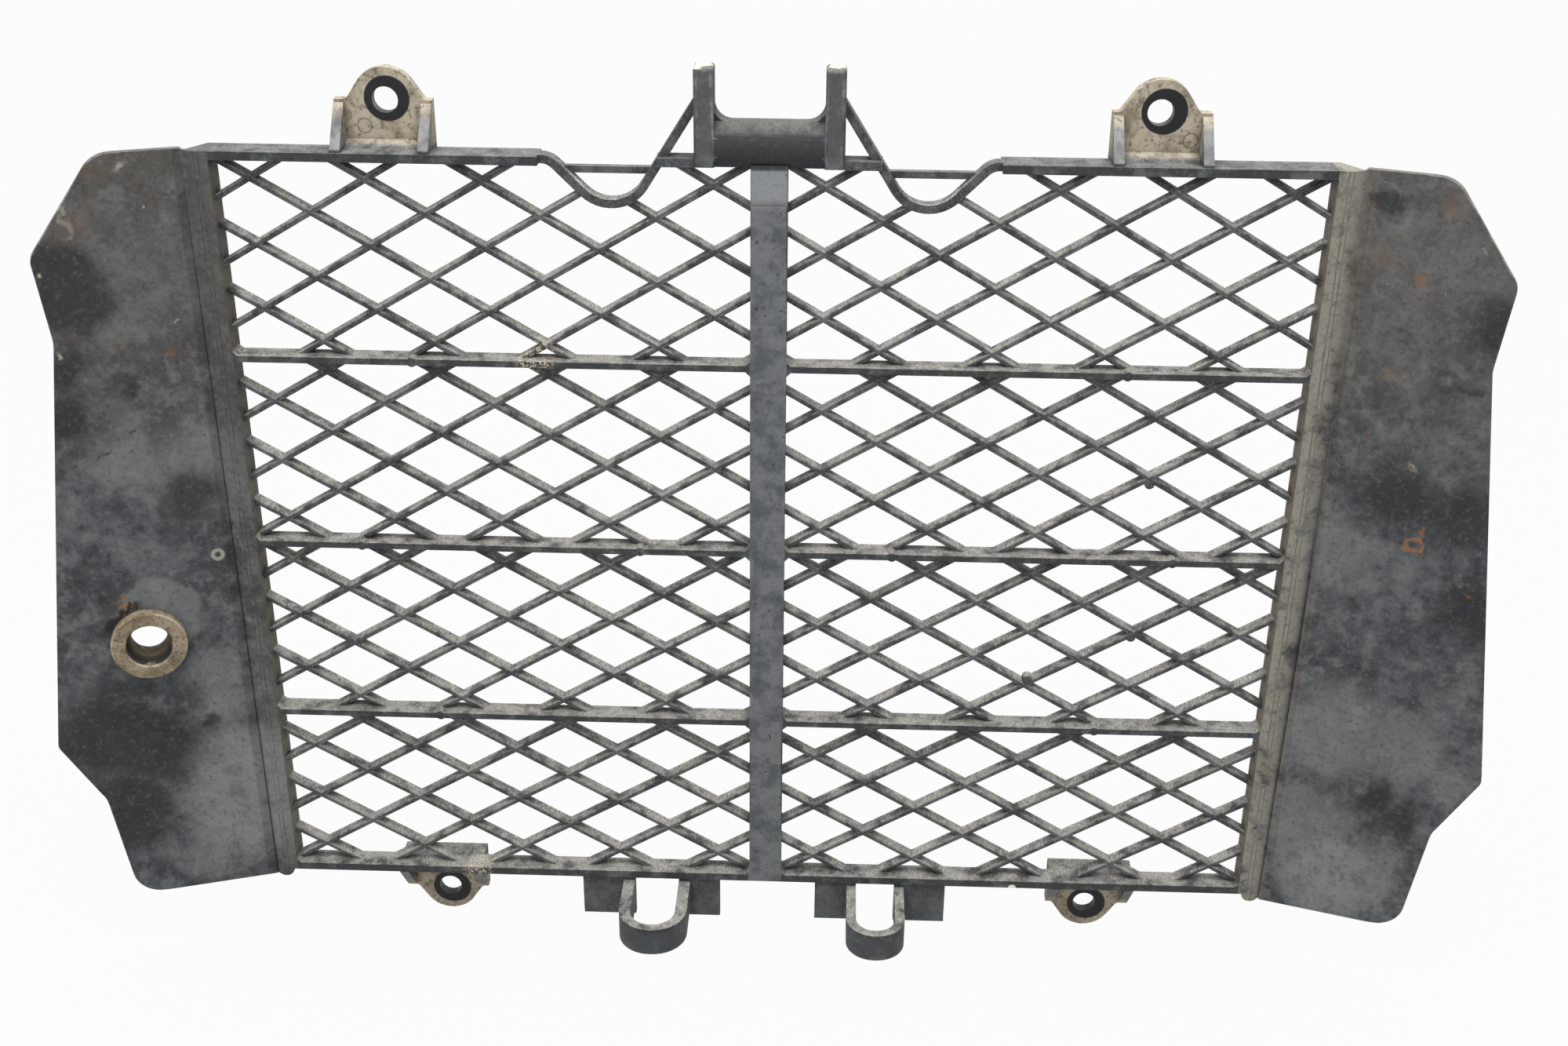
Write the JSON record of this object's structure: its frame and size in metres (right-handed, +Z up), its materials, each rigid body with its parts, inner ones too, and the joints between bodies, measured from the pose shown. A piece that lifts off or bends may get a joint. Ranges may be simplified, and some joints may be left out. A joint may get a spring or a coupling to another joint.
{
  "type": "motorcycle radiator cover",
  "caption": "Moulded grille cover for a motorcycle radiator: diamond lattice between cross bars, bent side wings, bolting ears, a top yoke and forward loops at the foot.",
  "frame": {"origin": "centre of the rectangle of the bolt holes, in the plane of the ears' rear faces", "axes": "+X across the cover to the side without the grommet, +Y from the front to the radiator, +Z up"},
  "size_m": [0.4796, 0.0427, 0.3157],
  "materials": {
    "cover_plastic": "weathered dark grey moulded plastic, scuffed and dusty",
    "grommet_rubber": "old rubber under a film of tan dust"
  },
  "bodies": {
    "root": {"radiator_cover": "cover_plastic", "wing_grommet": "grommet_rubber"}
  },
  "joints": []
}
